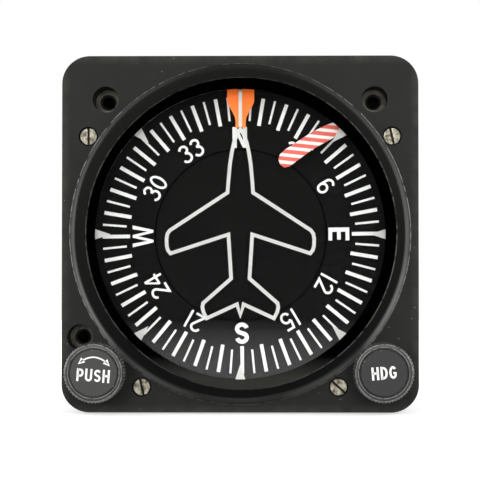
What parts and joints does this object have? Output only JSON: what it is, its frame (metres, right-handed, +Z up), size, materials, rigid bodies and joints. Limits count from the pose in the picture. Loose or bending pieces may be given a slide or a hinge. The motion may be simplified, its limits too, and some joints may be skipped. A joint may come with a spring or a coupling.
{
  "type": "directional gyro indicator",
  "caption": "Panel-mounted electric directional gyro: black square flange, round window, compass card, orange heading bug, two knobs.",
  "frame": {"origin": "centre of the square flange's front face, which rests on the back of the panel", "axes": "+X right and +Z up as the pilot sees the dial, +Y back into the case; the dial faces -Y"},
  "size_m": [0.0834, 0.1844, 0.0834],
  "materials": {
    "black_casting": "fine wrinkle, satin",
    "can_paint": "satin",
    "screw_metal": "worn nickel",
    "steel": "ground",
    "brass": "machined",
    "insert_metal": "tarnished",
    "alloy": "machined",
    "gasket": "matt",
    "glass": "clear",
    "white_paint": "matt",
    "dial_black": "matt",
    "bug_orange": "fluorescent, matt",
    "flag_stripes": "red and white stripes",
    "knob_plastic": "moulded",
    "cap_black": "satin",
    "board_green": "glass-fibre",
    "part_black": "moulded",
    "copper": "enamelled wire",
    "insulator": "moulded",
    "gold_pin": "gold plated",
    "connector_metal": "olive plated"
  },
  "bodies": {
    "case": {"bezel": "black_casting", "bezel_screws": "screw_metal", "window_gasket": "gasket", "window_glass": "glass", "glass_markings": "white_paint", "glass_retaining_ring": "can_paint", "front_housing": "black_casting", "threaded_inserts": "insert_metal", "dial_sleeve": "can_paint", "front_plate": "alloy", "mid_plate": "alloy", "plate_posts": "steel", "frame_screws": "screw_metal", "frame_rails": "alloy", "rear_plate": "alloy", "shaft_bushings": "brass", "gimbal_bearings": "steel", "brush_block": "insulator", "pivot_pins": "steel", "flag_coil": "copper", "rear_can": "can_paint", "case_screws": "screw_metal", "inverter_board": "board_green", "board_posts": "steel", "board_parts": "part_black", "rear_cover": "can_paint", "connector_shell": "connector_metal", "connector_insulator": "insulator", "connector_pins": "gold_pin", "bug_snap_ring": "steel", "push_spring": "steel"},
    "compass_card": {"compass_card": "dial_black", "card_markings": "white_paint", "card_centre_disc": "dial_black", "card_shaft": "steel", "setting_gear": "brass", "card_bevel_gear": "brass"},
    "setting_idler": {"setting_idler": "brass"},
    "layshaft": {"layshaft": "steel", "layshaft_gears": "brass"},
    "outer_gimbal": {"outer_gimbal": "alloy", "gimbal_gear_and_cam": "brass", "slip_rings": "gold_pin"},
    "inner_gimbal": {"rotor_case_front": "alloy", "rotor_case_rear": "alloy", "case_pivots_and_screws": "steel", "stator": "copper", "rotor_bearings": "steel"},
    "rotor": {"rotor": "brass"},
    "heading_bug": {"heading_bug": "bug_orange", "bug_ring_gear": "brass"},
    "heading_knob": {"heading_knob": "knob_plastic", "heading_knob_cap": "cap_black", "heading_shaft": "steel"},
    "push_slide": {"caging_slide": "steel"},
    "push_knob": {"push_knob": "knob_plastic", "push_knob_cap": "cap_black", "push_shaft": "steel"},
    "caging_arm": {"caging_arm": "steel"},
    "warning_flag": {"warning_flag": "flag_stripes"}
  },
  "joints": [
    {"name": "outer_gimbal_turn", "type": "hinge", "parent": "case", "child": "outer_gimbal", "pos_m": [0, 0.084, 0], "axis": [0, 0, 1], "continuous": true},
    {"name": "inner_gimbal_tilt", "type": "hinge", "parent": "outer_gimbal", "child": "inner_gimbal", "pos_m": [0, 0.084, 0], "axis": [1, 0, 0], "range_deg": [-55, 55]},
    {"name": "rotor_spin", "type": "hinge", "parent": "inner_gimbal", "child": "rotor", "pos_m": [0, 0.084, 0], "axis": [0, 1, 0], "continuous": true},
    {"name": "layshaft_turn", "type": "hinge", "parent": "case", "child": "layshaft", "pos_m": [0, 0.046, 0], "axis": [0, 0, 1], "continuous": true},
    {"name": "card_turn", "type": "hinge", "parent": "case", "child": "compass_card", "pos_m": [0, 0.011, 0], "axis": [0, 1, 0], "continuous": true},
    {"name": "idler_turn", "type": "hinge", "parent": "case", "child": "setting_idler", "pos_m": [-0.02571, 0.017, -0.02501], "axis": [0, 1, 0], "continuous": true},
    {"name": "bug_turn", "type": "hinge", "parent": "case", "child": "heading_bug", "pos_m": [0, 0.01, 0], "axis": [0, 1, 0], "continuous": true},
    {"name": "heading_knob_turn", "type": "hinge", "parent": "case", "child": "heading_knob", "pos_m": [0.033, 0, -0.0321], "axis": [0, 1, 0], "continuous": true},
    {"name": "push_knob_push", "type": "slide", "parent": "case", "child": "push_slide", "axis": [0, 1, 0], "range_m": [0, 0.004], "stiffness_N_per_m": 300, "springref_m": -0.002, "deforming": ["push_spring"]},
    {"name": "push_knob_turn", "type": "hinge", "parent": "push_slide", "child": "push_knob", "pos_m": [-0.033, 0, -0.0321], "axis": [0, 1, 0], "continuous": true},
    {"name": "caging_arm_swing", "type": "hinge", "parent": "case", "child": "caging_arm", "pos_m": [-0.0095, 0.065, -0.0294], "axis": [0, 0, 1], "range_deg": [-19.48, 0]},
    {"name": "flag_swing", "type": "hinge", "parent": "case", "child": "warning_flag", "pos_m": [0.0254, 0.0063, 0.0292], "axis": [0, -1, 0], "range_deg": [0, 84], "stiffness_Nm_per_rad": 0.0002}
  ],
  "couplings": [
    {"joint": "layshaft_turn", "follows": "outer_gimbal_turn", "ratio": -1},
    {"joint": "card_turn", "follows": "outer_gimbal_turn", "ratio": -1},
    {"joint": "idler_turn", "follows": "outer_gimbal_turn", "ratio": 5},
    {"joint": "heading_knob_turn", "follows": "bug_turn", "ratio": -5.9524},
    {"joint": "caging_arm_swing", "follows": "push_knob_push", "rad_per_m": -84.959}
  ]
}
